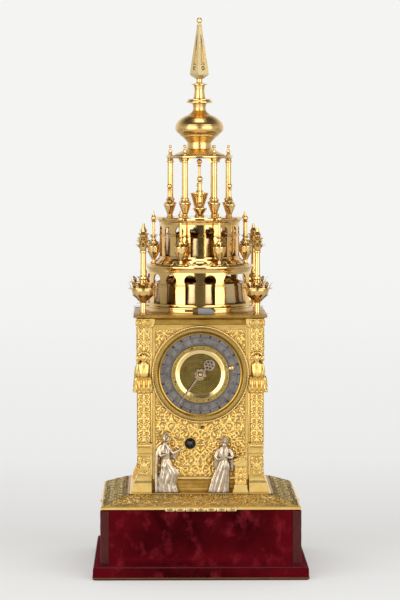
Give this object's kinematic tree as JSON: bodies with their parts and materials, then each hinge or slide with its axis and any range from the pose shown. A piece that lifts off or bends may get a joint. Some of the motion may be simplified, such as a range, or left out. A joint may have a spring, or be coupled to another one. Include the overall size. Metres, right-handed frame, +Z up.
{
  "type": "tower table clock",
  "caption": "Gilt tower table clock with a round dial, pilastered case, arcaded bell galleries, pillared crown and pierced spire on a velvet-covered plinth.",
  "frame": {"origin": "centre of the plinth's underside", "axes": "+Z up, the dial faces -Y, +X to the viewer's right"},
  "size_m": [0.211, 0.211, 0.5476],
  "materials": {
    "core_wood": "raw softwood, hidden under the velvet",
    "velvet": "worn crimson pile",
    "ribbon": "brown woven silk",
    "gilt_brass": "fire-gilt, chased",
    "plain_brass": "brushed",
    "bell_metal": "polished bell metal",
    "silver": "tarnished silver",
    "steel": "satin"
  },
  "bodies": {
    "clock_case": {"plinth_slab": "core_wood", "plinth_block": "core_wood", "velvet_cover": "velvet", "corner_ribbons": "ribbon", "foot_skirt": "gilt_brass", "foot_edging": "gilt_brass", "case_base": "gilt_brass", "front_panel": "gilt_brass", "side_panels": "gilt_brass", "corner_pilasters": "gilt_brass", "term_busts": "gilt_brass", "case_cornice": "gilt_brass", "top_plate": "gilt_brass", "bezel": "gilt_brass", "chapter_ring": "silver", "left_statuette": "silver", "right_statuette": "silver", "lectern": "gilt_brass", "corner_vases": "gilt_brass", "corner_finials": "gilt_brass", "tower_ledge": "gilt_brass", "lower_arcade": "gilt_brass", "lower_roof": "gilt_brass", "gallery_finials": "gilt_brass", "upper_arcade": "gilt_brass", "upper_roof": "gilt_brass", "crown_columns": "gilt_brass", "rim_finials": "gilt_brass", "middle_vase": "gilt_brass", "crown_plate": "gilt_brass", "plate_finials": "gilt_brass", "onion_dome": "gilt_brass", "spire_stem": "gilt_brass", "spire": "gilt_brass", "lower_bell": "bell_metal", "upper_bell": "bell_metal", "bell_post": "steel", "bell_nuts": "steel", "movement_plates": "plain_brass", "movement_pillars": "plain_brass", "top_bridge": "plain_brass", "verge_potence": "plain_brass"},
    "great_wheel": {"great_wheel": "plain_brass"},
    "idler": {"idler_wheel": "plain_brass"},
    "hour_work": {"hour_wheel": "plain_brass", "hour_hand": "steel"},
    "second": {"second_wheel": "plain_brass"},
    "third": {"third_wheel": "plain_brass"},
    "escape": {"escape_wheel": "plain_brass"},
    "balance": {"balance": "steel"},
    "fusee": {"fusee": "plain_brass"},
    "barrel": {"going_barrel": "plain_brass"},
    "alarm": {"alarm_disc": "gilt_brass"},
    "strike_barrel": {"strike_barrel": "plain_brass"},
    "strike_second": {"strike_wheel": "plain_brass"},
    "fly": {"fly": "plain_brass"},
    "hour_hammer": {"hour_hammer": "steel"},
    "quarter_hammer": {"quarter_hammer": "steel"},
    "back_door": {"back_door": "gilt_brass"},
    "latch": {"latch_bolt": "steel"}
  },
  "joints": [
    {"name": "great_wheel_turn", "type": "hinge", "parent": "clock_case", "child": "great_wheel", "pos_m": [-0.01, -0.0426, 0.1284], "axis": [0, 1, 0], "continuous": true},
    {"name": "idler_turn", "type": "hinge", "parent": "clock_case", "child": "idler", "pos_m": [-0.00077, -0.048, 0.15271], "axis": [0, 1, 0], "continuous": true},
    {"name": "hour_turn", "type": "hinge", "parent": "clock_case", "child": "hour_work", "pos_m": [0, -0.065, 0.1967], "axis": [0, 1, 0], "continuous": true},
    {"name": "second_turn", "type": "hinge", "parent": "clock_case", "child": "second", "pos_m": [0.00502, -0.02, 0.15665], "axis": [0, 1, 0], "continuous": true},
    {"name": "third_turn", "type": "hinge", "parent": "clock_case", "child": "third", "pos_m": [0.00077, -0.02, 0.18078], "axis": [0, 1, 0], "continuous": true},
    {"name": "escape_turn", "type": "hinge", "parent": "clock_case", "child": "escape", "pos_m": [0.00442, -0.028, 0.20146], "axis": [0, 1, 0], "continuous": true},
    {"name": "balance_swing", "type": "hinge", "parent": "clock_case", "child": "balance", "pos_m": [0.00442, -0.0365, 0.226], "axis": [0, 0, 1], "range_deg": [-45, 45]},
    {"name": "winding_turn", "type": "hinge", "parent": "clock_case", "child": "fusee", "pos_m": [-0.01, -0.03, 0.1284], "axis": [0, 1, 0], "continuous": true},
    {"name": "barrel_turn", "type": "hinge", "parent": "clock_case", "child": "barrel", "pos_m": [0.0306, -0.03, 0.1224], "axis": [0, 1, 0], "continuous": true},
    {"name": "alarm_turn", "type": "hinge", "parent": "clock_case", "child": "alarm", "pos_m": [0, -0.0608, 0.1967], "axis": [0, 1, 0], "continuous": true},
    {"name": "strike_turn", "type": "hinge", "parent": "clock_case", "child": "strike_barrel", "pos_m": [-0.008, 0.01, 0.1264], "axis": [0, 1, 0], "continuous": true},
    {"name": "strike_second_turn", "type": "hinge", "parent": "clock_case", "child": "strike_second", "pos_m": [0.01035, 0.01, 0.15261], "axis": [0, 1, 0], "continuous": true},
    {"name": "fly_turn", "type": "hinge", "parent": "clock_case", "child": "fly", "pos_m": [0.00822, 0.01, 0.17702], "axis": [0, 1, 0], "continuous": true},
    {"name": "hour_hammer_swing", "type": "hinge", "parent": "clock_case", "child": "hour_hammer", "pos_m": [0, 0.02706, 0.25], "axis": [0, 0, 1], "range_deg": [0, 28]},
    {"name": "quarter_hammer_swing", "type": "hinge", "parent": "clock_case", "child": "quarter_hammer", "pos_m": [0, 0.01804, 0.31], "axis": [0, 0, 1], "range_deg": [0, 28]},
    {"name": "back_door_hinge", "type": "hinge", "parent": "clock_case", "child": "back_door", "pos_m": [-0.0459, 0.0587, 0.168], "axis": [0, 0, 1], "range_deg": [0, 95]},
    {"name": "latch_slide", "type": "slide", "parent": "clock_case", "child": "latch", "axis": [1, 0, 0], "range_m": [-0.0046, 0]}
  ],
  "couplings": [
    {"joint": "idler_turn", "follows": "great_wheel_turn", "ratio": -0.3},
    {"joint": "hour_turn", "follows": "great_wheel_turn", "ratio": 0.25},
    {"joint": "second_turn", "follows": "great_wheel_turn", "ratio": -7},
    {"joint": "third_turn", "follows": "great_wheel_turn", "ratio": 42},
    {"joint": "escape_turn", "follows": "great_wheel_turn", "ratio": -252},
    {"joint": "barrel_turn", "follows": "winding_turn", "ratio": 0.97},
    {"joint": "strike_second_turn", "follows": "strike_turn", "ratio": -7},
    {"joint": "fly_turn", "follows": "strike_turn", "ratio": 42}
  ]
}
